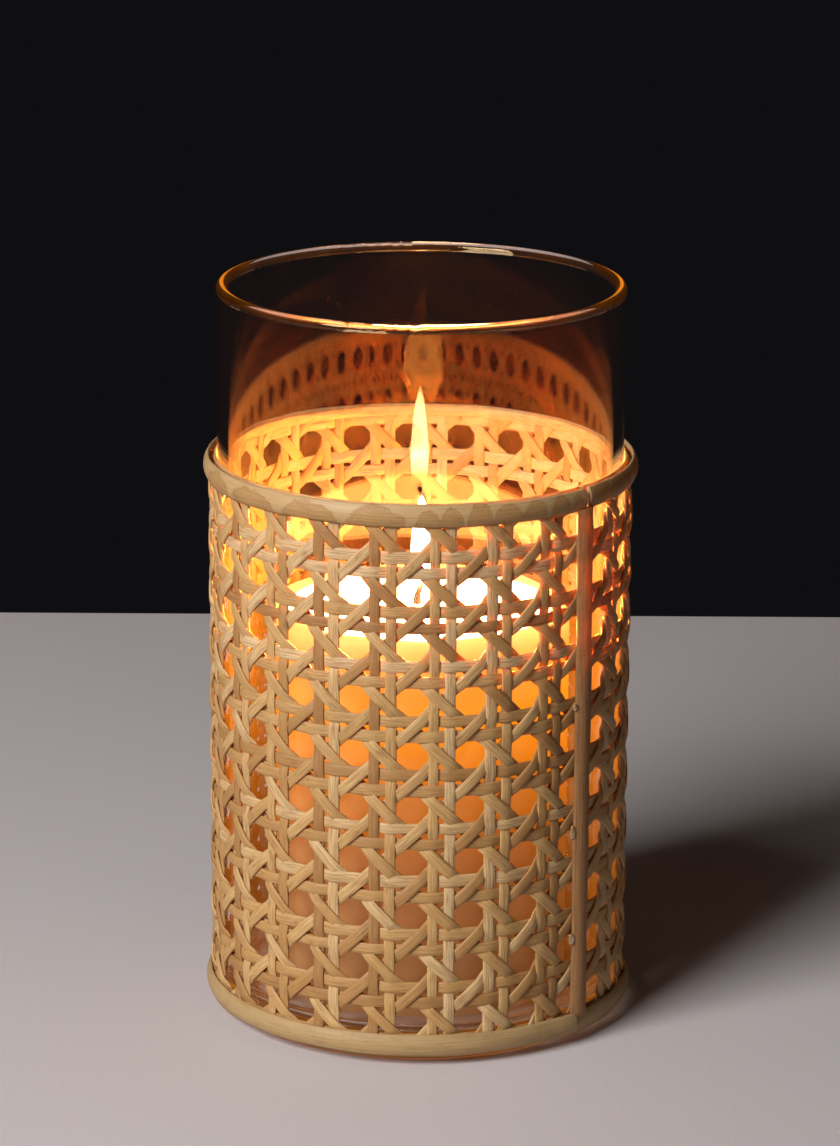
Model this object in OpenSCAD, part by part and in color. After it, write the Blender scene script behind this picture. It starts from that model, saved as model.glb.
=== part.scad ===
// Hurricane candle holder: a clear glass cylinder wrapped in a glued sleeve of
// six-way woven cane, with rattan binding strips and a pillar candle inside.
// Millimetres, +Z up. Origin: centre of the glass underside, on the table plane.
// Front is -Y. Angles named *_a run from the front towards +X.

/* [Glass] */
// outer height of the glass cylinder
glass_h = 173; // [150:1:220]
// outer diameter of the glass cylinder
glass_d = 94; // [92:0.5:98]
// thickness of the glass wall
wall = 2.4; // [2:0.1:3.5]
// thickness of the glass floor
floor_t = 6; // [4:0.5:9]
// extra radius of the fire-polished rim over half the wall
bead = 0.15; // [0.05:0.05:0.4]

/* [Sleeve] */
// height of the lower edge of the sleeve above the table
sleeve_z = 2.6; // [1:0.1:8]
// height of one woven cell
cell_h = 12.7; // [11.5:0.1:13]
// woven cells in one full turn; the part cell is taken up at the seam
turn_cells = 22.7; // [22.5:0.1:23]
// width of one cane strand
strand_w = 2.2; // [1.4:0.1:2.2]
// thickness of one cane strand
strand_t = 0.3; // [0.25:0.05:0.4]
// distance between the two strands of a pair
pair_s = 3.75; // [3.4:0.05:4.2]

/* [Binding] */
// height of the rattan binding strips
binding_h = 5.2; // [4.5:0.1:7]
// thickness of the rattan binding strips
binding_t = 1; // [0.8:0.1:2]
// width of the upright strip over the sleeve seam
seam_w = 5.4; // [4:0.1:6]
// thickness of the upright strip over the sleeve seam
seam_t = 1.4; // [1:0.1:2]
// angle of the sleeve seam from the front towards +X
seam_a = 48.8; // [0:0.1:90]

/* [Candle] */
// diameter of the pillar candle
candle_d = 70; // [50:1:76]
// height of the pillar candle
candle_h = 91; // [60:1:120]
// depth of the melted dish in the candle top
dish = 1.6; // [0.8:0.1:3]
// width of the raised edge left around the melted dish
edge_w = 3; // [2:0.5:5]
// diameter of the braided wick
wick_d = 2.2; // [1.6:0.1:3]

/* [Output] */
// "all", or the name of one node to draw alone

/* [Hidden] */
$fn = 64;
rows = 10;
step_a = 360 / turn_cells;
// a pair of uprights on every cell edge except the one under the seam strip
upright_pairs = 22;
// gap left between solids that touch on the real object
gap = 0.1;
glass_r = glass_d / 2;
inner_r = glass_r - wall;
rim_r = wall / 2 + bead;
heel = 3;
floor_fillet = 5;
dimple_r = 34;
dimple_h = 1;
dimple_ball = (pow(dimple_r, 2) + pow(dimple_h, 2)) / (2 * dimple_h);

// diagonal strands are laid in straight runs of half a cell; the chord of
// such a run dips inwards by this factor
run_a = step_a / 2;
chord = 1 / cos(run_a / 2);
rise_r = (glass_r + gap) * chord;
upright_in_r = rise_r + strand_t + gap;
hoop_r = upright_in_r + strand_t + gap;
upright_out_r = hoop_r + strand_t + gap;
fall_r = (upright_out_r + strand_t + gap) * chord;
skin_r = fall_r + strand_t + gap;

// centre height of the lowest pair of hoops
pair_z = sleeve_z + 1.95;
sleeve_top = pair_z + rows * cell_h + 1.45;
web_lo = sleeve_z + 0.4;
web_hi = sleeve_top - 0.4;
seam_gap = 0.3;
mid_r = (rise_r + fall_r) / 2;
cell_w = mid_r * step_a * PI / 180;

candle_z = floor_t + 0.3;
candle_r = candle_d / 2;
edge_r = 1.5;
cup_r = 10;
cup_t = 0.4;
cup_neck = 3;
bore_r = wick_d / 2 + 0.2;
wick_out = 4.5;
lean_a = 9;
groups = 8;
// diagonal offcuts shorter than this many rows are left out
shortest = 0.25;
bead_ball = 0.8;
glue_z = [26, 52, 82];

// drawn glass: thick floor, rounded heel, dimpled underside, rounded rim
module glass_vessel() {
    color([0.86, 0.92, 0.92, 0.35])
    rotate_extrude()
    union() {
        difference() {
            union() {
                square([glass_r - heel, floor_t]);
                translate([glass_r - heel, heel]) circle(r = heel);
                translate([0, heel]) square([glass_r, glass_h - rim_r - heel]);
            }
            translate([-glass_r, -1]) square([glass_r, glass_h + 2]);
            translate([0, dimple_h - dimple_ball]) circle(r = dimple_ball);
            translate([0, floor_t]) square([inner_r - floor_fillet, glass_h]);
            translate([0, floor_t + floor_fillet]) square([inner_r, glass_h]);
            translate([inner_r - floor_fillet, floor_t + floor_fillet])
                circle(r = floor_fillet);
        }
        translate([glass_r - wall / 2, glass_h - rim_r]) circle(r = rim_r);
    }
}

// half-round section: flat side on x = 0, crown at x = t
module half_round(w, t) {
    crown_r = (pow(w / 2, 2) + pow(t, 2)) / (2 * t);
    intersection() {
        translate([0, -w]) square([t + 1, 2 * w]);
        translate([t - crown_r, 0]) circle(r = crown_r);
    }
}

// split rattan hoop around the sleeve, butted at the seam
module binding(z) {
    open_a = 0.6;
    color([0.80, 0.64, 0.42])
    rotate([0, 0, seam_a - 90 + open_a])
    rotate_extrude(angle = 360 - 2 * open_a)
    translate([skin_r, z + binding_h / 2])
        half_round(binding_h, binding_t);
}

module top_binding() {
    binding(sleeve_top - binding_h);
}

module bottom_binding() {
    binding(sleeve_z);
}

// upright half-round rattan over the meeting edges of the sleeve
module seam_strip() {
    color([0.62, 0.42, 0.26])
    rotate([0, 0, seam_a - 90])
    translate([skin_r, 0, sleeve_z + binding_h + gap])
    linear_extrude(height = sleeve_top - sleeve_z - 2 * (binding_h + gap))
        half_round(seam_w, seam_t);
}

// clear glue squeezed out beside the seam strip
module glue_beads() {
    side_a = (seam_w / 2 + bead_ball + gap) / (skin_r + bead_ball) * 180 / PI;
    color([0.90, 0.84, 0.72, 0.6])
    for (z = glue_z)
        rotate([0, 0, seam_a - 90 - side_a])
        translate([skin_r + bead_ball, 0, z])
            sphere(r = bead_ball);
}

// one horizontal cane strand, open at the seam
module hoop(z) {
    open_a = seam_gap / mid_r * 180 / PI;
    rotate([0, 0, seam_a - 90 + open_a])
    rotate_extrude(angle = 360 - 2 * open_a)
    translate([hoop_r, z - strand_w / 2])
        square([strand_t, strand_w]);
}

// pair j of horizontal strands; the two edge rows keep only their inner one
module hoops(j) {
    color([0.83, 0.69, 0.47]) {
        if (j > 0) hoop(pair_z + j * cell_h - pair_s / 2);
        if (j < rows) hoop(pair_z + j * cell_h + pair_s / 2);
    }
}

// radius of an upright at a hoop: side 1 passes over upper hoops, side -1 under
function weave_r(side, upper) =
    side * upper > 0 ? upright_out_r : upright_in_r;

// height of the lower (-1) or upper (1) hoop of pair j
function hoop_z(j, upper) = pair_z + j * cell_h + upper * pair_s / 2;

// zigzag path [radius, height] of one upright through all crossings
function upright_path(side) = concat(
    [[weave_r(side, 1), web_lo]],
    [[weave_r(side, 1), hoop_z(0, 1) + strand_w / 2 + gap]],
    [for (j = [1:rows - 1]) for (u = [-1, 1]) for (e = [-1, 1])
        [weave_r(side, u), hoop_z(j, u) + e * (strand_w / 2 + gap)]],
    [[weave_r(side, -1), hoop_z(rows, -1) - strand_w / 2 - gap]],
    [[weave_r(side, -1), web_hi]]);

module upright(side) {
    path = upright_path(side);
    back = [for (i = [len(path) - 1:-1:0]) path[i] + [strand_t, 0]];
    translate([0, strand_w / 2, 0])
    rotate([90, 0, 0])
    linear_extrude(height = strand_w)
        polygon(concat(path, back));
}

// upright pair i: the left strand goes over the upper hoop of every pair and
// under the lower one, the right strand the other way round
module uprights(i) {
    half_a = pair_s / 2 / mid_r * 180 / PI;
    color([0.80, 0.65, 0.43])
    for (side = [-1, 1])
        rotate([0, 0, seam_a - 90 + i * step_a + side * half_a])
            upright(-side);
}

// point on the sleeve: u cells right of the seam, v cells above the low pair
function on_sleeve(r, u, v) = [
    r * sin(seam_a + u * step_a),
    -r * cos(seam_a + u * step_a),
    pair_z + v * cell_h];

// diagonal strand through (u0 + dir * v, v), from v = lo to v = hi
module diagonal(r, u0, dir, lo, hi) {
    runs = ceil((hi - lo) * step_a / run_a - 0.01);
    side = strand_w / 2 / sqrt(2);
    pts = [for (i = [0:runs]) let (v = lo + (hi - lo) * i / runs)
        for (c = [[0, -1], [1, -1], [1, 1], [0, 1]])
            on_sleeve(r + c[0] * strand_t,
                u0 + dir * v + c[1] * side / cell_w,
                v - dir * c[1] * side / cell_h)];
    skin = [for (i = [0:runs - 1]) for (c = [0:3])
        let (a = 4 * i + c, b = 4 * i + (c + 1) % 4)
        for (f = [[a, a + 4, b + 4], [a, b + 4, b]]) f];
    ends = [[0, 1, 2], [0, 2, 3],
        [4 * runs, 4 * runs + 2, 4 * runs + 1],
        [4 * runs, 4 * runs + 3, 4 * runs + 2]];
    polyhedron(points = pts, faces = concat(skin, ends), convexity = 4);
}

// every strand of one direction in group g, cut at the edges and the seam
module diagonals(r, dir, g) {
    trim = strand_w / 2 / sqrt(2) + seam_gap;
    v_lo = (web_lo - pair_z + trim) / cell_h;
    v_hi = (web_hi - pair_z - trim) / cell_h;
    u_lo = trim / cell_w;
    u_hi = turn_cells - trim / cell_w;
    first = dir > 0 ? -rows : 0;
    for (k = [first + g:groups:first + upright_pairs + rows]) {
        u0 = k + 0.5;
        lo = dir > 0 ? max(v_lo, u_lo - u0) : max(v_lo, u0 - u_hi);
        hi = dir > 0 ? min(v_hi, u_hi - u0) : min(v_hi, u0 - u_lo);
        if (hi - lo > shortest) diagonal(r, u0, dir, lo, hi);
    }
}

module rising_strands(g) {
    color([0.82, 0.67, 0.45]) diagonals(rise_r, 1, g);
}

module falling_strands(g) {
    color([0.85, 0.71, 0.50]) diagonals(fall_r, -1, g);
}

// pillar with a melted dish, a wick bore and a seat for the wick cup
module wax_body() {
    color([0.95, 0.90, 0.78])
    translate([0, 0, candle_z])
    rotate_extrude()
    difference() {
        union() {
            square([candle_r, candle_h - edge_r]);
            square([candle_r - edge_r, candle_h]);
            translate([candle_r - edge_r, candle_h - edge_r]) circle(r = edge_r);
        }
        translate([-candle_r, -1]) square([candle_r, candle_h + 2]);
        translate([0, candle_h - dish])
            square([candle_r - edge_w - dish, dish + 1]);
        translate([candle_r - edge_w - dish, candle_h]) circle(r = dish);
        translate([0, -1]) square([bore_r, candle_h + 2]);
        translate([0, -1]) square([cup_r + gap, 1 + cup_t + gap]);
        translate([0, -1]) square([bore_r + 0.7, 1 + cup_t + cup_neck + gap]);
    }
}

// stamped metal cup that holds the foot of the wick
module wick_sustainer() {
    color([0.72, 0.73, 0.74])
    translate([0, 0, candle_z])
    rotate_extrude()
    union() {
        square([cup_r, cup_t]);
        translate([bore_r, 0]) square([0.5, cup_t + cup_neck]);
    }
}

// braided wick; the charred tip above the wax is thinner and leans over
module wick() {
    foot_z = candle_z + cup_t + gap;
    lean_z = candle_z + candle_h - dish + wick_out / 3;
    color([0.20, 0.17, 0.15]) {
        translate([0, 0, foot_z]) cylinder(r = wick_d / 2, h = lean_z - foot_z);
        translate([0, 0, lean_z - wick_d / 2])
        rotate([0, lean_a, 0])
            cylinder(r = wick_d * 0.4, h = wick_out);
    }
}

glass_vessel();
top_binding();
bottom_binding();
seam_strip();
glue_beads();
for (j = [0:rows])
    hoops(j);
for (i = [1:upright_pairs])
    uprights(i);
for (g = [0:groups - 1])
    rising_strands(g);
for (g = [0:groups - 1])
    falling_strands(g);
wax_body();
wick();
wick_sustainer();
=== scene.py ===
import math
import random

import bpy
from mathutils import Matrix, Vector


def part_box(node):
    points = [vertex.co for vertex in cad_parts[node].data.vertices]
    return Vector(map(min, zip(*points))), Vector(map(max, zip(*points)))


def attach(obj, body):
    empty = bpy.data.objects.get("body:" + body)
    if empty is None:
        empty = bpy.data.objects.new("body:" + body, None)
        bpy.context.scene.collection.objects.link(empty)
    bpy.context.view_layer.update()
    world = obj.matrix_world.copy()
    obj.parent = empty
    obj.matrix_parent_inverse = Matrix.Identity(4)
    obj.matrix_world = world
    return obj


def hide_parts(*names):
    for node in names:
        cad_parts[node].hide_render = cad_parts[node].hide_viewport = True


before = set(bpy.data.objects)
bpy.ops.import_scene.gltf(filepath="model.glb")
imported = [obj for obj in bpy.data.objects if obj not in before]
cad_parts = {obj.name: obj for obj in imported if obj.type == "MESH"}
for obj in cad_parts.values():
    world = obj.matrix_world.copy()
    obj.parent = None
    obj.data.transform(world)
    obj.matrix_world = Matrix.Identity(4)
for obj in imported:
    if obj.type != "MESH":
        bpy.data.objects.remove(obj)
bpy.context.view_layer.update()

MM = 0.001

# ---------------------------------------------------------------- layout
glass_lo, glass_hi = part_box("glass_vessel")
wax_lo, wax_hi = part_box("wax_body")
top_lo, top_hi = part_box("top_binding")
low_lo, low_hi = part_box("bottom_binding")
seam_lo, seam_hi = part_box("seam_strip")

GLASS_R = glass_hi.x
SEAM_A = math.radians(48.8)
TURN_CELLS, PAIRS, ROWS = 22.7, 22, 10
STEP_A = 2 * math.pi / TURN_CELLS
CELL_H = 12.7 * MM
PAIR_S = 3.75 * MM
PAIR_Z = sum(p.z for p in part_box("hoops_0")) / 2 - PAIR_S / 2
WEB_R = GLASS_R + 1.14 * MM
CELL_W = WEB_R * STEP_A
CANE_W, CANE_T = 2.3 * MM, 0.56 * MM
RIM_DEPTH = 2.3 * MM
WEB_LO, WEB_HI = low_lo.z + 0.4 * MM, top_hi.z - 0.3 * MM

# heights of the strands above or below the middle of the sleeve
PLAIN = 0.36 * MM
CROSS = 0.62 * MM

rng = random.Random(41)


# ---------------------------------------------------------------- camera
SENSOR = 36.0
FOCAL_PER_HEIGHT = 4518.0 / 1146.0
CAMERA_AT = (0.0, -1.0143, 0.3880)
CAMERA_DOWN, CAMERA_ROLL = 0.2733, 0.0057


def make_camera():
    """The photograph's camera: its place, downward tilt and slight roll in metres and radians."""
    data = bpy.data.cameras.new("camera")
    cam = bpy.data.objects.new("camera", data)
    bpy.context.scene.collection.objects.link(cam)
    data.lens = FOCAL_PER_HEIGHT * SENSOR
    data.sensor_width = SENSOR
    data.clip_start, data.clip_end = 0.01, 20.0
    turn = Matrix.Rotation(math.pi / 2 - CAMERA_DOWN, 3, "X") @ Matrix.Rotation(CAMERA_ROLL, 3, "Z")
    cam.matrix_world = Matrix.Translation(CAMERA_AT) @ turn.to_4x4()
    bpy.context.scene.camera = cam


make_camera()


# ---------------------------------------------------------------- node helpers
class Nodes:
    """A material's node tree, with one short method for each kind of node used below."""

    def __init__(self, name):
        self.mat = bpy.data.materials.new(name)
        self.mat.use_nodes = True
        self.tree = self.mat.node_tree
        self.tree.nodes.clear()
        self.out = self.add("ShaderNodeOutputMaterial")

    def add(self, kind, **values):
        n = self.tree.nodes.new(kind)
        for k, v in values.items():
            setattr(n, k, v)
        return n

    def link(self, a, b):
        self.tree.links.new(a, b)

    def put(self, socket, value):
        if isinstance(value, bpy.types.NodeSocket):
            self.link(value, socket)
        else:
            socket.default_value = value

    def math(self, op, a, b):
        n = self.add("ShaderNodeMath", operation=op)
        self.put(n.inputs[0], a)
        self.put(n.inputs[1], b)
        return n.outputs[0]

    def mix(self, fac, a, b):
        n = self.add("ShaderNodeMix", data_type="RGBA")
        self.put(n.inputs[0], fac)
        self.put(n.inputs[6], a)
        self.put(n.inputs[7], b)
        return n.outputs[2]

    def ramp(self, fac, stops):
        n = self.add("ShaderNodeValToRGB")
        self.put(n.inputs[0], fac)
        els = n.color_ramp.elements
        while len(els) < len(stops):
            els.new(0.5)
        for e, (pos, col) in zip(els, stops):
            e.position = pos
            e.color = (*col, 1.0) if isinstance(col, tuple) else (col, col, col, 1.0)
        return n.outputs[0]

    def noise(self, vec, scale, detail=3.0, rough=0.5):
        n = self.add("ShaderNodeTexNoise")
        self.put(n.inputs["Vector"], vec)
        n.inputs["Scale"].default_value = scale
        n.inputs["Detail"].default_value = detail
        n.inputs["Roughness"].default_value = rough
        return n.outputs["Fac"]

    def scaled(self, vec, scale, shift=(0, 0, 0)):
        n = self.add("ShaderNodeMapping")
        self.put(n.inputs["Vector"], vec)
        n.inputs["Scale"].default_value = scale
        n.inputs["Location"].default_value = shift
        return n.outputs[0]

    def bump(self, height, strength, distance):
        n = self.add("ShaderNodeBump")
        self.put(n.inputs["Height"], height)
        n.inputs["Strength"].default_value = strength
        n.inputs["Distance"].default_value = distance
        return n.outputs[0]

    def attr(self, name):
        return self.add("ShaderNodeAttribute", attribute_name=name).outputs["Fac"]

    def uv(self):
        return self.add("ShaderNodeUVMap", uv_map="fibre").outputs[0]

    def done(self, shader):
        self.link(shader, self.out.inputs["Surface"])
        return self.mat


def principled(n, color, rough, normal=None, **more):
    s = n.add("ShaderNodeBsdfPrincipled")
    n.put(s.inputs["Base Color"], color)
    n.put(s.inputs["Roughness"], rough)
    if normal is not None:
        n.put(s.inputs["Normal"], normal)
    for key, value in more.items():
        n.put(s.inputs[key.replace("_", " ")], value)
    return s.outputs[0]


# ---------------------------------------------------------------- materials
STRAW = (0.71, 0.470, 0.190, 1)
TAN = (0.55, 0.315, 0.108, 1)
BROWN = (0.22, 0.095, 0.035, 1)
GLOW = (1.0, 0.42, 0.08, 1)


def rgb(c):
    return tuple(c[:3])


def cane():
    n = Nodes("split_cane")
    uv = n.uv()
    tone = n.attr("tone")
    streak = n.noise(n.scaled(uv, (0.35, 5.0, 1.0)), 4.0, 3.0, 0.6)
    fine = n.noise(n.scaled(uv, (0.4, 10.0, 1.0), (3.1, 7.7, 0)), 4.0, 2.0, 0.5)
    blotch = n.noise(n.scaled(uv, (0.6, 1.0, 1.0), (11.0, 5.0, 0)), 3.0, 3.0, 0.6)
    speck = n.noise(n.scaled(uv, (7.0, 9.0, 1.0), (2.0, 9.0, 0)), 4.0, 3.0, 0.6)
    base = n.ramp(tone, [(0.0, (0.38, 0.185, 0.06)), (0.32, rgb(TAN)), (0.62, rgb(STRAW)),
                         (1.0, (0.80, 0.61, 0.33))])
    base = n.mix(n.ramp(streak, [(0.40, 0.0), (0.62, 0.55)]), base, TAN)
    base = n.mix(n.ramp(fine, [(0.40, 0.60), (0.52, 0.0)]), base, (0.36, 0.19, 0.07, 1))
    knots = n.math("MULTIPLY", n.ramp(blotch, [(0.57, 0.0), (0.74, 0.85)]),
                   n.ramp(speck, [(0.35, 0.25), (0.62, 1.0)]))
    base = n.mix(knots, base, BROWN)
    height = n.math("ADD", n.math("MULTIPLY", streak, 0.7), n.math("MULTIPLY", fine, 0.5))
    normal = n.bump(height, 0.75, 0.00030)
    rough = n.ramp(streak, [(0.3, 0.42), (0.7, 0.62)])
    body = principled(n, base, rough, normal, Specular_IOR_Level=0.42)
    through = n.add("ShaderNodeBsdfTranslucent")
    n.put(through.inputs["Color"], n.mix(0.55, base, GLOW))
    n.put(through.inputs["Normal"], normal)
    mix = n.add("ShaderNodeMixShader")
    mix.inputs[0].default_value = 0.26
    n.link(body, mix.inputs[1])
    n.link(through.outputs[0], mix.inputs[2])
    return n.done(mix.outputs[0])


def rattan(name, light, mid, dark, glue):
    """Half-round binding: long fibres, mottled bark and, where glue is set, scallops of dried glue."""
    n = Nodes(name)
    uv = n.uv()
    streak = n.noise(n.scaled(uv, (0.22, 7.0, 1.0)), 4.0, 4.0, 0.6)
    speck = n.noise(n.scaled(uv, (5.0, 8.0, 1.0), (4.0, 1.0, 0)), 5.0, 4.0, 0.65)
    blotch = n.noise(n.scaled(uv, (0.8, 1.3, 1.0), (7.0, 3.0, 0)), 3.0, 3.0, 0.55)
    base = n.mix(n.ramp(streak, [(0.34, 0.0), (0.68, 1.0)]), light, mid)
    spots = n.math("MULTIPLY", n.ramp(blotch, [(0.50, 0.0), (0.66, 1.0)]),
                   n.ramp(speck, [(0.50, 0.0), (0.64, 0.9)]))
    base = n.mix(spots, base, dark)
    rough = n.ramp(streak, [(0.3, 0.40), (0.7, 0.58)])
    if glue:
        # the tone attribute is above one half in the bare scallops and below it where glue lies
        field = n.math("ADD", n.attr("tone"), n.math("MULTIPLY", n.math("SUBTRACT", blotch, 0.5), 0.5))
        wet = n.ramp(field, [(0.46, 1.0), (0.53, 0.0)])
        film = n.mix(n.ramp(streak, [(0.35, 0.0), (0.7, 1.0)]),
                     (0.60, 0.42, 0.21, 1), (0.52, 0.33, 0.145, 1))
        base = n.mix(n.math("MULTIPLY", wet, glue), base, film)
        rim = n.math("MULTIPLY", n.ramp(field, [(0.47, 0.0), (0.53, 1.0), (0.62, 0.35), (0.9, 0.1)]),
                     n.ramp(speck, [(0.50, 0.0), (0.60, 0.75)]))
        base = n.mix(rim, base, (0.17, 0.075, 0.03, 1))
        rough = n.math("SUBTRACT", rough, n.math("MULTIPLY", wet, 0.12))
    normal = n.bump(n.math("ADD", streak, n.math("MULTIPLY", speck, 0.4)), 0.5, 0.00025)
    body = principled(n, base, rough, normal, Specular_IOR_Level=0.35)
    through = n.add("ShaderNodeBsdfTranslucent")
    n.put(through.inputs["Color"], n.mix(0.5, base, GLOW))
    mix = n.add("ShaderNodeMixShader")
    mix.inputs[0].default_value = 0.18
    n.link(body, mix.inputs[1])
    n.link(through.outputs[0], mix.inputs[2])
    return n.done(mix.outputs[0])


# strengths of the painted amber glow in the glass rim and upper wall, and of the weak mirror
RIM_PAINTED_GLOW, WALL_PAINTED_HAZE, BACK_MIRROR = 0.075, 0.0013, 0.06
# strength of the wax's painted glow, and of the flame's own light
WAX_PAINTED_GLOW, FLAME_GLOW = 5.0, 90.0


def clear_glass():
    """Real refraction to the eye; lamps and bounced light pass straight through. The wall
    carries a painted amber glow, emission fixed in the glass that stands in for flame light
    carried in it, strongest in the rim and at its edges; the edge part grows with Layer Weight.
    Rays that have already gone through a wall meet a weak amber mirror as well, which
    strengthens the back wall's reflection of the flame."""
    n = Nodes("clear_glass")
    co = n.add("ShaderNodeTexCoord").outputs["Object"]
    split = n.add("ShaderNodeSeparateXYZ")
    n.put(split.inputs[0], co)
    smear = n.noise(n.scaled(co, (60.0, 60.0, 9.0)), 1.0, 3.0, 0.5)
    below_rim = n.math("DIVIDE", n.math("SUBTRACT", glass_hi.z, split.outputs[2]), RIM_DEPTH)
    # painted glow: amber emission in the rim, plus a painted haze in the wall from 100 mm up, standing in
    # for flame light carried in the glass
    glow = n.ramp(below_rim, [(0.0, 1.0), (0.4, 0.35), (1.0, 0.0)])
    painted_haze = n.ramp(split.outputs[2], [(0.10, 0.0), (0.125, 1.0)])
    glow = n.math("ADD", n.math("MULTIPLY", glow, RIM_PAINTED_GLOW), n.math("MULTIPLY", painted_haze, WALL_PAINTED_HAZE))
    edge = n.add("ShaderNodeLayerWeight")
    edge.inputs["Blend"].default_value = 0.5
    # painted flame light: emission by height in the glass, brighter where the wall is seen edge-on
    painted_flame_light = n.ramp(split.outputs[2], [(0.0, 0.05), (0.05, 0.16), (0.07, 0.30), (0.085, 0.40), (0.105, 0.50),
                                    (0.128, 0.22), (0.135, 0.0)])
    painted_flame_light = n.math("MULTIPLY", painted_flame_light, n.ramp(edge.outputs["Facing"], [(0.12, 0.0), (0.5, 0.8), (0.8, 1.0)]))
    glow = n.math("ADD", glow, painted_flame_light)
    glow = n.math("MULTIPLY", glow, n.ramp(smear, [(0.3, 0.5), (0.7, 1.4)]))
    glass = n.add("ShaderNodeBsdfPrincipled")
    glass.inputs["Base Color"].default_value = (0.98, 0.98, 0.96, 1)
    glass.inputs["Transmission Weight"].default_value = 1.0
    glass.inputs["IOR"].default_value = 1.5
    glass.inputs["Specular Tint"].default_value = (1.0, 0.72, 0.38, 1)
    n.put(glass.inputs["Roughness"], n.ramp(smear, [(0.5, 0.0), (0.9, 0.008)]))
    n.put(glass.inputs["Normal"], n.bump(smear, 0.01, 0.001))
    glass.inputs["Emission Color"].default_value = (1.0, 0.27, 0.015, 1)
    n.put(glass.inputs["Emission Strength"], glow)
    path = n.add("ShaderNodeLightPath")
    mirror = n.add("ShaderNodeBsdfGlossy")
    mirror.inputs["Color"].default_value = (1.0, 0.40, 0.08, 1)
    mirror.inputs["Roughness"].default_value = 0.0
    inside = n.math("GREATER_THAN", path.outputs["Transmission Depth"], 1.5)
    shiny = n.add("ShaderNodeMixShader")
    n.link(n.math("MULTIPLY", inside, BACK_MIRROR), shiny.inputs[0])
    n.link(glass.outputs[0], shiny.inputs[1])
    n.link(mirror.outputs[0], shiny.inputs[2])
    clear = n.add("ShaderNodeBsdfTransparent")
    clear.inputs["Color"].default_value = (0.95, 0.94, 0.91, 1)
    soft = n.math("MAXIMUM", path.outputs["Is Shadow Ray"], path.outputs["Is Diffuse Ray"])
    mix = n.add("ShaderNodeMixShader")
    n.link(soft, mix.inputs[0])
    n.link(shiny.outputs[0], mix.inputs[1])
    n.link(clear.outputs[0], mix.inputs[2])
    return n.done(mix.outputs[0])


def glue_material():
    n = Nodes("dried_glue")
    co = n.add("ShaderNodeTexCoord").outputs["Object"]
    cloud = n.noise(co, 900.0, 3.0, 0.5)
    color = n.mix(cloud, (0.50, 0.24, 0.07, 1), (0.64, 0.38, 0.15, 1))
    return n.done(principled(n, color, n.ramp(cloud, [(0.2, 0.10), (0.8, 0.22)]),
                             n.bump(cloud, 0.3, 0.0004), Transmission_Weight=0.45,
                             Subsurface_Weight=0.2, Coat_Weight=0.5, IOR=1.48))


def wax_material():
    """Ivory wax with a painted glow, emission that stands in for the flame's light in the wax: white-gold
    at the top, amber, then unlit.
    """
    n = Nodes("ivory_wax")
    co = n.add("ShaderNodeTexCoord").outputs["Object"]
    split = n.add("ShaderNodeSeparateXYZ")
    n.put(split.inputs[0], co)
    cloud = n.noise(n.scaled(co, (30.0, 30.0, 14.0)), 1.0, 3.0, 0.55)
    grain = n.noise(co, 700.0, 3.0, 0.6)
    depth = n.math("DIVIDE", n.math("SUBTRACT", wax_hi.z, split.outputs[2]), wax_hi.z - wax_lo.z)
    depth = n.math("ADD", depth, n.math("MULTIPLY", n.math("SUBTRACT", cloud, 0.5), 0.06))
    color = n.mix(cloud, (0.59, 0.325, 0.15, 1), (0.52, 0.275, 0.115, 1))
    # painted glow: emission colour and strength by depth below the top, standing in for flame light
    glow = n.ramp(depth, [(0.0, (1.0, 0.40, 0.10)), (0.10, (1.0, 0.30, 0.03)), (0.20, (1.0, 0.29, 0.002)),
                          (0.34, (1.0, 0.25, 0.0)), (0.55, (1.0, 0.22, 0.004)), (1.0, (0.9, 0.28, 0.08))])
    power = n.ramp(depth, [(0.0, 0.42), (0.06, 0.24), (0.14, 0.20), (0.26, 0.18), (0.42, 0.095),
                           (0.62, 0.045), (0.9, 0.022)])
    shade = n.add("ShaderNodeBsdfPrincipled")
    n.put(shade.inputs["Base Color"], color)
    n.put(shade.inputs["Roughness"], n.ramp(grain, [(0.3, 0.38), (0.7, 0.5)]))
    n.put(shade.inputs["Normal"], n.bump(grain, 0.12, 0.0006))
    shade.inputs["Subsurface Weight"].default_value = 0.5
    shade.inputs["Subsurface Radius"].default_value = (1.0, 0.55, 0.28)
    shade.inputs["Subsurface Scale"].default_value = 0.012
    shade.inputs["Specular IOR Level"].default_value = 0.3
    n.put(shade.inputs["Emission Color"], glow)
    n.put(shade.inputs["Emission Strength"], n.math("MULTIPLY", power, WAX_PAINTED_GLOW))
    return n.done(shade.outputs[0])


def pool_material():
    n = Nodes("molten_wax")
    co = n.add("ShaderNodeTexCoord").outputs["Object"]
    ripple = n.noise(co, 160.0, 2.0, 0.4)
    color = n.mix(ripple, (0.95, 0.80, 0.55, 1), (0.90, 0.72, 0.45, 1))
    shade = n.add("ShaderNodeBsdfPrincipled")
    n.put(shade.inputs["Base Color"], color)
    shade.inputs["Roughness"].default_value = 0.06
    shade.inputs["IOR"].default_value = 1.44
    n.put(shade.inputs["Normal"], n.bump(ripple, 0.15, 0.0006))
    # painted glow: the melt pool emits, standing in for the flame's light falling on it
    n.put(shade.inputs["Emission Color"], n.mix(ripple, (1.0, 0.72, 0.38, 1), (1.0, 0.64, 0.30, 1)))
    shade.inputs["Emission Strength"].default_value = 8.0
    return n.done(shade.outputs[0])


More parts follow.
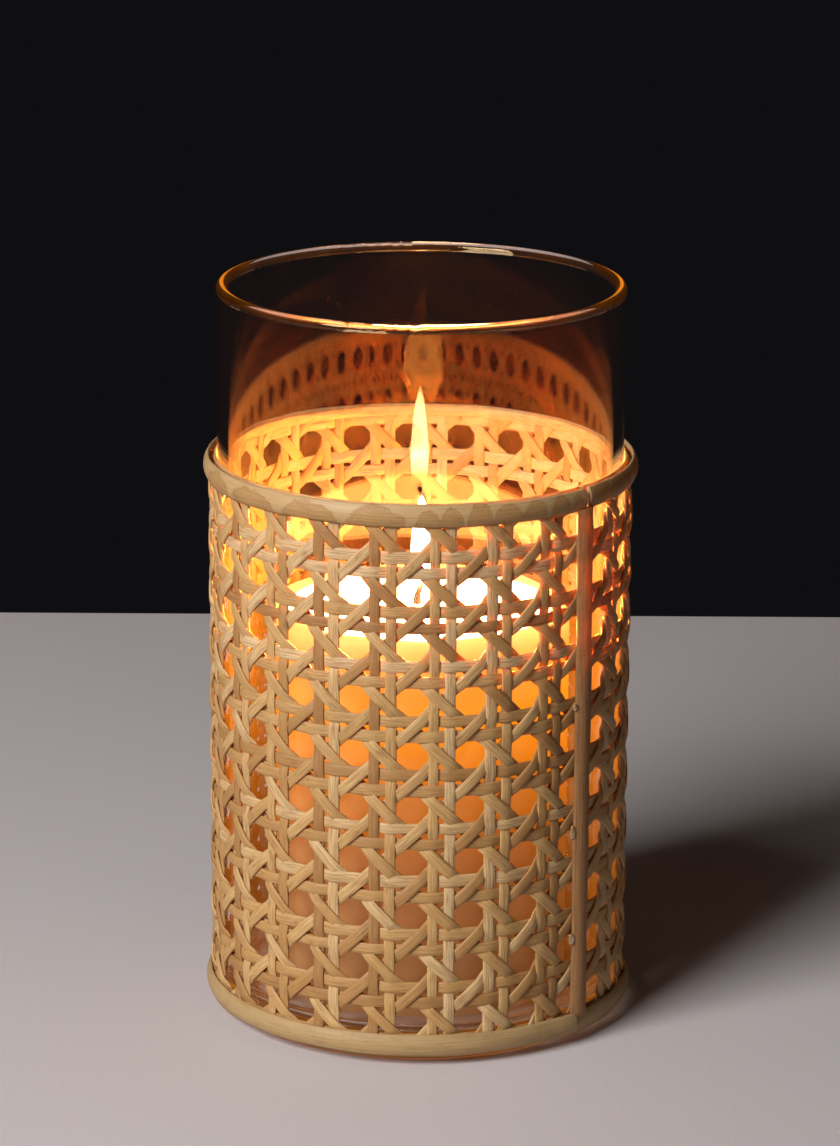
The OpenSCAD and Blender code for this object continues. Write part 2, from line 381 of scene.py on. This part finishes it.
def wick_material():
    n = Nodes("charred_wick")
    uv = n.uv()
    braid = n.add("ShaderNodeTexWave", wave_type="BANDS", bands_direction="DIAGONAL")
    n.put(braid.inputs["Vector"], uv)
    braid.inputs["Scale"].default_value = 9.0
    braid.inputs["Distortion"].default_value = 1.5
    burn = n.noise(uv, 9.0, 3.0, 0.6)
    color = n.mix(burn, (0.020, 0.013, 0.010, 1), (0.10, 0.055, 0.025, 1))
    color = n.mix(n.math("MULTIPLY", braid.outputs["Fac"], 0.5), color, (0.16, 0.085, 0.035, 1))
    return n.done(principled(n, color, n.ramp(burn, [(0.3, 0.75), (0.7, 0.95)]),
                             n.bump(braid.outputs["Fac"], 0.7, 0.0005)))


def flame_material():
    """Dim and see-through at its foot, white-hot above, with a thin orange edge. The edge goes
    by Layer Weight, so it depends on where the flame is seen from."""
    n = Nodes("flame")
    co = n.add("ShaderNodeTexCoord").outputs["Object"]
    split = n.add("ShaderNodeSeparateXYZ")
    n.put(split.inputs[0], co)
    rise = n.math("DIVIDE", n.math("SUBTRACT", split.outputs[2], FLAME_Z), FLAME_H)
    facing = n.add("ShaderNodeLayerWeight")
    facing.inputs["Blend"].default_value = 0.3
    core = n.ramp(rise, [(0.0, (1.0, 0.32, 0.06)), (0.22, (1.0, 0.64, 0.30)), (0.42, (0.92, 0.94, 1.0)),
                         (0.88, (0.92, 0.94, 1.0)), (1.0, (1.0, 0.82, 0.55))])
    color = n.mix(n.ramp(facing.outputs["Facing"], [(0.45, 0.0), (0.85, 1.0)]), core, (1.0, 0.66, 0.25, 1))
    path = n.add("ShaderNodeLightPath")
    glow = n.add("ShaderNodeEmission")
    n.put(glow.inputs["Color"], color)
    power = n.ramp(rise, [(0.0, 0.10), (0.18, 0.55), (0.40, 1.0), (0.88, 0.9), (1.0, 0.4)])
    n.put(glow.inputs["Strength"], n.math("MULTIPLY", power, FLAME_GLOW))
    clear = n.add("ShaderNodeBsdfTransparent")
    body = n.ramp(rise, [(0.10, 1.0), (0.19, 0.92), (0.30, 0.55), (0.46, 0.0)])
    edge = n.ramp(facing.outputs["Facing"], [(0.70, 0.0), (0.98, 0.8)])
    mix = n.add("ShaderNodeMixShader")
    see_through = n.math("MAXIMUM", n.math("MAXIMUM", body, edge), path.outputs["Is Shadow Ray"])
    n.link(see_through, mix.inputs[0])
    n.link(glow.outputs[0], mix.inputs[1])
    n.link(clear.outputs[0], mix.inputs[2])
    return n.done(mix.outputs[0])


def tin_material():
    n = Nodes("stamped_tin")
    co = n.add("ShaderNodeTexCoord").outputs["Object"]
    brush = n.noise(n.scaled(co, (900.0, 60.0, 60.0)), 2.0, 3.0, 0.5)
    color = n.mix(brush, (0.55, 0.55, 0.56, 1), (0.70, 0.70, 0.70, 1))
    return n.done(principled(n, color, n.ramp(brush, [(0.3, 0.28), (0.7, 0.42)]),
                             n.bump(brush, 0.1, 0.0002), Metallic=1.0))


def floor_material():
    n = Nodes("pale_table")
    co = n.add("ShaderNodeTexCoord").outputs["Object"]
    cloud = n.noise(co, 9.0, 3.0, 0.5)
    tooth = n.noise(co, 950.0, 2.0, 0.6)
    color = n.mix(cloud, (0.555, 0.52, 0.52, 1), (0.59, 0.555, 0.555, 1))
    color = n.mix(n.ramp(tooth, [(0.4, 0.0), (0.7, 0.25)]), color, (0.515, 0.475, 0.475, 1))
    return n.done(principled(n, color, n.ramp(tooth, [(0.3, 0.62), (0.7, 0.72)]),
                             n.bump(tooth, 0.12, 0.0004), Specular_IOR_Level=0.25))


# ---------------------------------------------------------------- mesh helpers
class Shape:
    """Vertices, faces, fibre UVs and a tone per vertex, gathered into one mesh."""

    def __init__(self):
        self.verts, self.faces, self.uvs, self.tones = [], [], [], []

    def sweep(self, centres, sides, outs, section, tone=0.5, shift=0.0, sizes=None):
        """Sweeps section [(side, out), ...] along centres, with capped ends. UVs are in
        centimetres: u runs along the sweep and v round the section, both moved by shift."""
        base, m = len(self.verts), len(section)
        along, lengths = 0.0, []
        for i, c in enumerate(centres):
            if i:
                along += (c - centres[i - 1]).length
            lengths.append(along)
        rim = [0.0]
        for k in range(1, m + 1):
            a, b = section[k - 1], section[k % m]
            rim.append(rim[-1] + math.hypot(a[0] - b[0], a[1] - b[1]))
        for i, c in enumerate(centres):
            k = sizes[i] if sizes else 1.0
            for s, o in section:
                self.verts.append(c + sides[i] * (s * k) + outs[i] * (o * k))
                self.tones.append(tone)
        rings = len(centres)
        for i in range(rings - 1):
            j = i + 1
            for k in range(m):
                k2 = (k + 1) % m
                self.faces.append((base + i * m + k, base + i * m + k2,
                                   base + j * m + k2, base + j * m + k))
                u0, u1 = lengths[i] * 100, lengths[j] * 100
                v0, v1 = rim[k] * 100 + shift, rim[k + 1] * 100 + shift
                self.uvs += [(u0 + shift, v0), (u0 + shift, v1), (u1 + shift, v1), (u1 + shift, v0)]
        for i, flip in ((0, True), (rings - 1, False)):
            ring = [base + i * m + k for k in range(m)]
            self.faces.append(tuple(reversed(ring)) if flip else tuple(ring))
            self.uvs += [(shift, shift)] * m

    def make(self, name, material, body, slot, *nodes):
        """Makes the mesh object, rides it on body, and takes the place of any CAD nodes given."""
        me = bpy.data.meshes.new(name)
        me.from_pydata([tuple(v) for v in self.verts], [], self.faces)
        me.update()
        layer = me.uv_layers.new(name="fibre")
        layer.data.foreach_set("uv", [x for uv in self.uvs for x in uv])
        tone = me.attributes.new("tone", "FLOAT", "POINT")
        tone.data.foreach_set("value", self.tones)
        me.polygons.foreach_set("use_smooth", [True] * len(me.polygons))
        me.materials.append(material)
        ob = bpy.data.objects.new(name, me)
        bpy.context.scene.collection.objects.link(ob)
        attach(ob, body)
        if nodes:
            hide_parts(*nodes)
        return ob


def around(r, a, z):
    """Point at radius r, angle a from the front towards +X, height z."""
    return Vector((r * math.sin(a), -r * math.cos(a), z))


def outward(a):
    return Vector((math.sin(a), -math.cos(a), 0.0))


def cane_section(w, t):
    """Convex bark face outwards, flat split face inwards, eased edges."""
    pts = [(-0.47, -0.5), (-0.5, -0.34), (-0.5, 0.20), (-0.455, 0.38), (-0.20, 0.5),
           (0.20, 0.5), (0.455, 0.38), (0.5, 0.20), (0.5, -0.34), (0.47, -0.5)]
    return [(s * w, o * t) for s, o in pts]


def on_sleeve(u, v, out):
    return around(WEB_R + out, SEAM_A + u * STEP_A, PAIR_Z + v * CELL_H)


def ease(x):
    x = min(1.0, max(0.0, x))
    return x * x * (3 - 2 * x)


def plain_weave(x, sign):
    """Offset of a horizontal or upright strand: +sign at the crossing before each whole
    number, -sign after it, and level half-way between."""
    d = PAIR_S / 2 / CELL_H
    f = x - round(x)
    if abs(f) < d:
        level = -(2 * ease((f + d) / (2 * d)) - 1)
    elif f > 0:
        level = -(1 - ease((f - d) / (0.5 - d)))
    else:
        level = 1 - ease((-f - d) / (0.5 - d))
    return sign * PLAIN * level


def cross_weave(v, sign):
    """Offset of a diagonal: +sign at whole rows, -sign half-way between."""
    c = math.cos(2 * math.pi * v)
    return sign * CROSS * math.tanh(2.6 * c) / math.tanh(2.6)


class Wander:
    """Slow seeded side-to-side drift of one strand."""

    def __init__(self, size):
        self.terms = [(rng.uniform(0.35, 1.6), rng.uniform(0, 6.3), size * rng.uniform(0.3, 1.0))
                      for _ in range(3)]

    def __call__(self, x):
        return sum(a * math.sin(f * x + p) for f, p, a in self.terms) / 1.8


def strand(shape, path, w, t):
    """Adds one cane strand to the shape. Its path is a list of (cells round from the seam,
    rows up, distance out from the middle of the sleeve)."""
    centres = [on_sleeve(u, v, o) for u, v, o in path]
    outs, sides = [], []
    for i, (u, _, _) in enumerate(path):
        ahead = centres[min(i + 1, len(path) - 1)] - centres[max(i - 1, 0)]
        out = outward(SEAM_A + u * STEP_A)
        side = ahead.cross(out).normalized()
        out = side.cross(ahead).normalized()
        outs.append(out)
        sides.append(side)
    tone = min(1.0, max(0.0, rng.gauss(0.5, 0.26)))
    shape.sweep(centres, sides, outs, cane_section(w, t), tone=tone, shift=rng.uniform(0, 40))


def cane_size():
    return CANE_W * rng.uniform(0.92, 1.07), CANE_T * rng.uniform(0.92, 1.05)


def span(a, b, per_unit):
    n = max(2, int(math.ceil((b - a) * per_unit)))
    return [a + (b - a) * i / n for i in range(n + 1)]


# ---------------------------------------------------------------- woven sleeve
CANE = cane()
V_LO, V_HI = (WEB_LO - PAIR_Z) / CELL_H, (WEB_HI - PAIR_Z) / CELL_H
SEAM_U = 0.35 * MM / CELL_W
HALF_U, HALF_V = PAIR_S / 2 / CELL_W, PAIR_S / 2 / CELL_H
# strand ends stop this many rows below the top edge, behind a plain edge strand
STRAND_SHY = 0.13
# the strands lie a little fuller than the cane's stock width, by family
HOOP_FULL, UPRIGHT_FULL, DIAGONAL_FULL = 1.16, 1.08, 1.13
EDGE_STRAND_DOWN, EDGE_STRAND_OUT = 1.3 * MM, -0.7 * MM
SHORTEST_DIAGONAL = 0.12


def build_hoops():
    for j in range(ROWS + 1):
        shape = Shape()
        for side in (-1, 1):
            if (j == 0 and side < 0) or (j == ROWS and side > 0):
                continue
            drift = Wander(0.010)
            w, t = cane_size()
            # the upper hoop passes under the left upright of a pair and over the right one
            path = [(u, j + side * HALF_V + drift(u), plain_weave(u, -side))
                    for u in span(SEAM_U, TURN_CELLS - SEAM_U, 12)]
            strand(shape, path, w * HOOP_FULL, t)
        if j == ROWS:
            edge_v = (top_hi.z - EDGE_STRAND_DOWN - PAIR_Z) / CELL_H
            path = [(u, edge_v, EDGE_STRAND_OUT) for u in span(SEAM_U, TURN_CELLS - SEAM_U, 12)]
            strand(shape, path, CANE_W, CANE_T)
        shape.make(f"hoop_weave_{j}", CANE, "holder", "cane", f"hoops_{j}")


def build_uprights():
    for i in range(1, PAIRS + 1):
        shape = Shape()
        lean = rng.gauss(0, 0.012)
        for side in (-1, 1):
            drift = Wander(0.011)
            w, t = cane_size()
            top = V_HI - STRAND_SHY + rng.uniform(-0.01, 0.045)
            # the left upright passes over upper hoops, the right one over lower hoops
            path = [(i + side * HALF_U + lean + drift(v), v, plain_weave(v, side))
                    for v in span(V_LO, top, 12)]
            strand(shape, path, w * UPRIGHT_FULL, t)
        shape.make(f"upright_weave_{i}", CANE, "holder", "cane", f"uprights_{i}")


def build_diagonals(kind, direction, groups=8):
    trim_u = 0.9 * MM / CELL_W
    first = -ROWS if direction > 0 else 0
    for g in range(groups):
        shape = Shape()
        for k in range(first + g, first + PAIRS + ROWS + 1, groups):
            u0 = k + 0.5
            top = V_HI - STRAND_SHY + rng.uniform(-0.02, 0.03)
            low = V_LO + 0.05
            if direction > 0:
                lo, hi = max(low, trim_u - u0), min(top, TURN_CELLS - trim_u - u0)
            else:
                lo, hi = max(low, u0 - TURN_CELLS + trim_u), min(top, u0 - trim_u)
            if hi - lo < SHORTEST_DIAGONAL:
                continue
            drift = Wander(0.012)
            w, t = cane_size()
            path = [(u0 + direction * v + drift(v), v - direction * drift(v), cross_weave(v, direction))
                    for v in span(lo, hi, 16)]
            strand(shape, path, w * DIAGONAL_FULL, t)
        shape.make(f"{kind}_weave_{g}", CANE, "holder", "cane", f"{kind}_strands_{g}")


build_hoops()
build_uprights()
build_diagonals("rising", 1)
build_diagonals("falling", -1)


# ---------------------------------------------------------------- rattan bindings
BAND_OUT, BAND_T = 2.15 * MM, 1.05 * MM
SEAM_OUT, SEAM_W, SEAM_T = 2.2 * MM, 5.4 * MM, 1.45 * MM


def half_round(w, t, n=9):
    """Crown at out = t, and a flat back sunk a little behind out = 0."""
    crown = (w * w / 4 + t * t) / (2 * t)
    half = math.asin(min(1.0, w / 2 / crown))
    arc = [(crown * math.sin(-half + 2 * half * i / n),
            crown * math.cos(-half + 2 * half * i / n) - crown + t) for i in range(n + 1)]
    soft = 0.12 * t
    back_left, back_right = (-w / 2 + 0.1 * MM, -0.25 * MM), (w / 2 - 0.1 * MM, -0.25 * MM)
    return [back_left] + [(s, max(o, soft)) for s, o in arc] + [back_right]


def ring_band(name, material, z_mid, height, start, turn, lift, node, scallops=()):
    """Rattan strip laid round the sleeve; its end laps over its start. Scallops are
    (angle, half width, height) of the bare arches left between patches of glue."""
    shape = Shape()
    steps = 1040 if scallops else 260
    wob = [Wander(0.10), Wander(0.14)]
    section = half_round(height, BAND_T)
    centres, sides, outs, sizes = [], [], [], []
    for i in range(steps + 1):
        f = i / steps
        a = start + turn * f
        over = lift * ease((f - 0.972) / 0.02)
        r = GLASS_R + BAND_OUT + over + wob[0](a * 2.2) * MM
        centres.append(around(r, a, z_mid + wob[1](a * 1.7) * MM))
        sides.append(Vector((0, 0, 1)))
        outs.append(outward(a))
        sizes.append(1.0 + 0.03 * math.sin(5.3 * a) + 0.02 * math.sin(13.7 * a + 1.0))
    shape.sweep(centres, sides, outs, section, tone=0.5, shift=rng.uniform(0, 9), sizes=sizes)
    if scallops:
        for i in range(steps + 1):
            a = start + turn * i / steps
            for k, (side, _) in enumerate(section):
                rise = side / height + 0.5
                field = -1.0
                for c, half, tall in scallops:
                    away = math.remainder(a - c, 2 * math.pi) / half
                    field = max(field, 1.0 - away * away - (rise / tall) ** 2)
                shape.tones[i * len(section) + k] = 0.5 + 0.5 * field
    shape.make(name, material, "holder", "rattan", node)


def bare_arches():
    """Arches as (angle, half width, height) with the angles in degrees, wide on the left of the
    front and narrow on its right. Those behind are drawn from their own seed."""
    seen = [(-68, 8, 0.95), (-49.8, 8.5, 0.9), (-30.2, 8.5, 0.9), (-11.5, 8.2, 0.95), (2, 3.5, 0.8),
            (8, 3.2, 0.9), (15.5, 3.6, 1.05), (23, 4.4, 0.95), (31, 3.8, 1.0), (39, 3.4, 1.0),
            (45, 2.4, 0.9), (55, 5, 1.1)]
    r = random.Random(23)
    a = 66.0
    while a < 284:
        half = r.uniform(4, 8.5)
        seen.append((a, half, r.uniform(0.8, 1.05)))
        a += half * 2.1
    return [(math.radians(c), math.radians(w), h) for c, w, h in seen]


RATTAN_TOP = rattan("rattan_glued", (0.55, 0.335, 0.135, 1), (0.42, 0.235, 0.085, 1),
                    (0.13, 0.055, 0.02, 1), 0.85)
RATTAN_LOW = rattan("rattan_plain", (0.51, 0.35, 0.165, 1), (0.41, 0.26, 0.11, 1),
                    (0.22, 0.11, 0.045, 1), 0.0)
# a darker copy of the binding rattan for the seam strip: painted shade, as the strip stands on the shaded
# side
RATTAN_SHADED_COPY = rattan("rattan_painted_shade", (0.42, 0.225, 0.09, 1), (0.27, 0.125, 0.045, 1),
                     (0.10, 0.045, 0.02, 1), 0.0)

BAND_H = top_hi.z - top_lo.z
ring_band("top_band", RATTAN_TOP, (top_lo.z + top_hi.z) / 2, BAND_H, SEAM_A + math.radians(1.0),
          2 * math.pi - math.radians(1.4), 0.0, "top_binding", bare_arches())
ring_band("bottom_band", RATTAN_LOW, (low_lo.z + low_hi.z) / 2, BAND_H, SEAM_A - math.radians(5.0),
          2 * math.pi + math.radians(4.0), 0.5 * MM, "bottom_binding")


def build_seam_strip():
    shape = Shape()
    steps = 90
    sway = Wander(0.16)
    z0, z1 = seam_lo.z - 1.2 * MM, seam_hi.z + 0.6 * MM
    centres, sides, outs, sizes = [], [], [], []
    for i in range(steps + 1):
        z = z0 + (z1 - z0) * i / steps
        a = SEAM_A + sway(z * 60) * MM / GLASS_R
        centres.append(around(GLASS_R + SEAM_OUT, a, z))
        outs.append(outward(a))
        sides.append(Vector((0, 0, 1)).cross(outward(a)) * -1.0)
        sizes.append(1.0 + 0.035 * math.sin(z * 170) + 0.02 * math.sin(z * 431))
    shape.sweep(centres, sides, outs, half_round(SEAM_W, SEAM_T), shift=3.0, sizes=sizes)
    # the seam strip takes the darker rattan copy, painted shade
    shape.make("seam_batten", RATTAN_SHADED_COPY, "holder", "rattan_dark", "seam_strip")


build_seam_strip()


# ---------------------------------------------------------------- glue and loose fibres
def blob(shape, centre, axes, seed):
    """Soft uneven drop with the given half sizes."""
    r = random.Random(seed)
    ph = [r.uniform(0, 6.3) for _ in range(4)]
    rings, segs = 9, 14
    base = len(shape.verts)
    for i in range(rings + 1):
        th = math.pi * i / rings
        for k in range(segs):
            p = 2 * math.pi * k / segs
            wob = 1 + 0.14 * math.sin(2 * p + ph[0]) * math.sin(th) + 0.10 * math.sin(3 * th + ph[1])
            d = (math.sin(th) * math.cos(p) * wob, math.sin(th) * math.sin(p) * wob, math.cos(th) * wob)
            shape.verts.append(centre + axes[0] * d[0] + axes[1] * d[1] + axes[2] * d[2])
            shape.tones.append(0.5)
    for i in range(rings):
        for k in range(segs):
            k2 = (k + 1) % segs
            shape.faces.append((base + i * segs + k, base + (i + 1) * segs + k,
                                base + (i + 1) * segs + k2, base + i * segs + k2))
            shape.uvs += [(0, 0)] * 4


def build_glue():
    glue = glue_material()
    shape = Shape()
    side = math.radians(3.4)
    # height in mm, place across the seam strip from -1 to 1, half width and half height in mm
    drops = [(26, -1.0, 0.75, 1.3), (52, -1.05, 0.6, 1.6), (82, -0.95, 0.7, 1.1), (8.6, -0.5, 1.2, 0.9),
             (5.2, -0.9, 1.7, 1.3), (127.4, -0.2, 1.3, 0.9), (108, 1.0, 0.5, 1.2)]
    for i, (z, where, wide, tall) in enumerate(drops):
        a = SEAM_A + side * where
        out = outward(a)
        across = Vector((0, 0, 1)).cross(out)
        c = around(GLASS_R + (2.9 if z < 6 else 2.45) * MM, a, z * MM)
        blob(shape, c, (across * wide * MM, out * 0.55 * MM, Vector((0, 0, tall * MM))), 90 + i)
    shape.make("glue_drops", glue, "holder", "glue", "glue_beads")


build_glue()


def build_fibres():
    shape = Shape()
    r = random.Random(7)
    for i in range(26):
        low = i % 2 == 0
        a = math.radians(r.uniform(-75, 75) if i < 18 else r.uniform(90, 270))
        z = low_hi.z + r.uniform(-0.2, 0.5) * MM if low else top_lo.z - r.uniform(-0.2, 0.5) * MM
        length, bend = r.uniform(2.0, 5.5) * MM, r.uniform(-1.2, 1.2)
        tilt = r.uniform(-1.1, 1.1)
        centres, sides, outs, sizes = [], [], [], []
        for k in range(9):
            f = k / 8
            da = (math.sin(tilt + bend * f) * length * f) / GLASS_R
            dz = (1 if low else -1) * math.cos(tilt + bend * f) * length * f
            centres.append(around(GLASS_R + (2.35 + 0.5 * math.sin(f * 2.4)) * MM, a + da, z + dz))
            sides.append(Vector((0, 0, 1)).cross(outward(a + da)))
            outs.append(outward(a + da))
            sizes.append(1.0 - 0.75 * f)
        q = r.uniform(0.05, 0.10) * MM
        shape.sweep(centres, sides, outs, [(-q, -q), (q, -q), (q, q), (-q, q)], tone=0.9,
                    shift=r.uniform(0, 9), sizes=sizes)
    shape.make("loose_fibres", CANE, "holder", "cane")


build_fibres()


# ---------------------------------------------------------------- candle
WAX_R = wax_hi.x
POOL_Z = wax_hi.z - 1.1 * MM
FLAME_Z = wax_hi.z + 1.2 * MM
FLAME_H = 26.2 * MM


def lathe(shape, profile, segs=128, wobble=None):
    """Turns profile [(r, z), ...] round the axis into one skin of quads. The wobble, if given,
    returns how far a point moves out and up."""
    base, m = len(shape.verts), len(profile)
    for k in range(segs):
        a = 2 * math.pi * k / segs
        for r, z in profile:
            dr, dz = wobble(a, r, z) if wobble else (0.0, 0.0)
            shape.verts.append(around(max(0.0, r + dr), a, z + dz))
            shape.tones.append(0.5)
    for k in range(segs):
        k2 = (k + 1) % segs
        for i in range(m - 1):
            shape.faces.append((base + k * m + i, base + k2 * m + i,
                                base + k2 * m + i + 1, base + k * m + i + 1))
            shape.uvs += [(0, 0)] * 4


def build_candle():
    z0, z1 = wax_lo.z, wax_hi.z
    r = WAX_R - 0.05 * MM

    def wobble(a, rr, z):
        top = ease((z - z1 + 6 * MM) / (6 * MM))
        edge = (0.35 * MM * math.sin(2 * a + 0.4) + 0.22 * MM * math.sin(5 * a + 2.0)
                + 0.1 * MM * math.sin(11 * a))
        return (-abs(edge) * 0.5 * top if rr > 0.8 * r else 0.0, -abs(edge) * top if rr > 0.6 * r else 0.0)

    prof = [(1.4 * MM, z0), (r - 1.2 * MM, z0), (r - 0.35 * MM, z0 + 0.35 * MM), (r, z0 + 1.2 * MM)]
    prof += [(r, z0 + (z1 - z0 - 2.2 * MM) * i / 24) for i in range(1, 25)]
    prof += [(r - 0.15 * MM, z1 - 1.3 * MM), (r - 0.6 * MM, z1 - 0.5 * MM), (r - 1.4 * MM, z1 - 0.08 * MM),
             (r - 2.2 * MM, z1), (r - 3.2 * MM, z1 - 0.35 * MM), (r - 4.2 * MM, z1 - 1.0 * MM),
             (r - 6.0 * MM, z1 - 1.5 * MM), (r - 12 * MM, z1 - 1.55 * MM), (1.4 * MM, z1 - 1.58 * MM)]
    shape = Shape()
    lathe(shape, prof, wobble=wobble)
    shape.make("pillar_wax", wax_material(), "candle", "wax", "wax_body")

    pool = Shape()
    pr = r - 3.7 * MM
    lathe(pool, [(0.0, POOL_Z - 0.3 * MM), (pr, POOL_Z - 0.3 * MM), (pr + 0.35 * MM, POOL_Z - 0.05 * MM),
                 (pr, POOL_Z + 0.06 * MM), (pr * 0.8, POOL_Z), (3.0 * MM, POOL_Z),
                 (1.6 * MM, POOL_Z + 0.35 * MM), (0.0, POOL_Z + 0.5 * MM)], segs=96)
    pool.make("melt_pool", pool_material(), "candle", "wax")


build_candle()


def build_wick():
    wick_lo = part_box("wick")[0]
    shape = Shape()
    centres, sides, outs, sizes = [], [], [], []
    pts = []
    for i in range(12):
        pts.append(Vector((0, 0, wick_lo.z + (POOL_Z - 1 * MM - wick_lo.z) * i / 11)))
    for i in range(1, 19):
        f = i / 18
        pts.append(Vector((-0.9 * MM * math.sin(f * 3.0) * (1 - f * 0.4) + 0.5 * MM * f * f, -0.2 * MM * f,
                           POOL_Z - 1 * MM + 6.0 * MM * f)))
    for i, p in enumerate(pts):
        ahead = (pts[min(i + 1, len(pts) - 1)] - pts[max(i - 1, 0)]).normalized()
        side = ahead.cross(Vector((0, 1, 0))).normalized()
        centres.append(p)
        sides.append(side)
        outs.append(side.cross(ahead).normalized())
        burnt = ease((p.z - POOL_Z) / (4 * MM))
        sizes.append((1.0 - 0.35 * burnt) * (1 + 0.07 * math.sin(i * 2.1)))
    rad = 0.95 * MM
    ring = [(rad * math.cos(2 * math.pi * k / 10), rad * math.sin(2 * math.pi * k / 10)) for k in range(10)]
    shape.sweep(centres, sides, outs, ring, sizes=sizes)
    shape.make("braided_wick", wick_material(), "candle", "wick", "wick")


build_wick()


FLAME_COLOR = (1.0, 0.38, 0.085)
FLAME_POWER = 3.0
FLAME_LAMP_R, FLAME_LAMP_RISE = 3.0 * MM, 0.45
# share of the flame's height, and its radius there in mm
FLAME_SIZE = [(0.0, 0.7), (0.10, 1.6), (0.23, 2.25), (0.37, 2.5), (0.51, 2.42), (0.65, 2.14), (0.78, 1.72),
              (0.86, 1.34), (0.92, 0.96), (0.97, 0.50), (1.0, 0.06)]


def flame_centre(f):
    """The flame leans a little towards the front as it rises."""
    return Vector((0.3 * MM, (-2.6 - 5.4 * f) * MM, FLAME_Z + FLAME_H * f))


def build_flame():
    """The flame and its lamp. The lamp is hidden from transmission rays, or its disc would show
    through the glass."""
    shape = Shape()
    steps = 40
    centres, sides, outs, sizes = [], [], [], []
    for i in range(steps + 1):
        f = i / steps
        for (f0, r0), (f1, r1) in zip(FLAME_SIZE, FLAME_SIZE[1:]):
            if f0 <= f <= f1:
                sizes.append(r0 + (r1 - r0) * (f - f0) / (f1 - f0))
                break
        centres.append(flame_centre(f))
        sides.append(Vector((1, 0, 0)))
        outs.append(Vector((0, 1, 0)))
    ring = [(MM * math.cos(2 * math.pi * k / 32), MM * math.sin(2 * math.pi * k / 32)) for k in range(32)]
    shape.sweep(centres, sides, outs, ring, sizes=sizes)
    flame = shape.make("candle_flame", flame_material(), "candle", "wick")
    lamp = bpy.data.lights.new("flame_light", "POINT")
    lamp.color = FLAME_COLOR
    lamp.energy = FLAME_POWER
    lamp.shadow_soft_size = FLAME_LAMP_R
    ob = bpy.data.objects.new("flame_light", lamp)
    bpy.context.scene.collection.objects.link(ob)
    ob.parent = flame
    ob.location = flame_centre(FLAME_LAMP_RISE)
    ob.visible_transmission = False


build_flame()


# ---------------------------------------------------------------- carried-over CAD nodes
def dress(node, material):
    """Gives a CAD node that scene.py keeps as it is a material of its own."""
    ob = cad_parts[node]
    ob.data.materials.clear()
    ob.data.materials.append(material)


dress("glass_vessel", clear_glass())
dress("wick_sustainer", tin_material())


# ---------------------------------------------------------------- stage and light
TABLE_HALF_X, TABLE_FRONT, TABLE_BACK, TABLE_T = 0.32, -0.25, 0.322, 0.03


def build_stage():
    """A pale table top with its back edge turned down, in a dark room."""
    me = bpy.data.meshes.new("table_top")
    x, y0, y1 = TABLE_HALF_X, TABLE_FRONT, TABLE_BACK
    me.from_pydata([(-x, y0, 0), (x, y0, 0), (x, y1, 0), (-x, y1, 0), (x, y1, -TABLE_T),
                    (-x, y1, -TABLE_T)], [], [(0, 1, 2, 3), (3, 2, 4, 5)])
    me.materials.append(floor_material())
    ob = bpy.data.objects.new("table_top", me)
    bpy.context.scene.collection.objects.link(ob)

    world = bpy.data.worlds.new("dark_room")
    world.use_nodes = True
    bg = world.node_tree.nodes["Background"]
    bg.inputs[0].default_value = (0.0047, 0.0047, 0.0056, 1)
    bg.inputs[1].default_value = 1.0
    bpy.context.scene.world = world


def area(name, place, aim, size, power, color):
    data = bpy.data.lights.new(name, "AREA")
    data.shape = "RECTANGLE"
    data.size, data.size_y = size
    data.energy = power
    data.color = color
    ob = bpy.data.objects.new(name, data)
    bpy.context.scene.collection.objects.link(ob)
    ob.location = place
    ob.rotation_euler = (Vector(aim) - Vector(place)).to_track_quat("-Z", "Y").to_euler()


build_stage()
area("key_left", (-0.72, -0.80, 0.72), (0.0, 0.0, 0.05), (0.62, 0.62), 22.5, (1.0, 0.972, 0.965))
area("fill_right", (1.1, -0.7, 0.9), (0.0, 0.0, 0.05), (0.6, 0.6), 0.6, (1.0, 0.72, 0.52))

bpy.context.scene.view_settings.view_transform = "Standard"
bpy.context.scene.view_settings.look = "None"
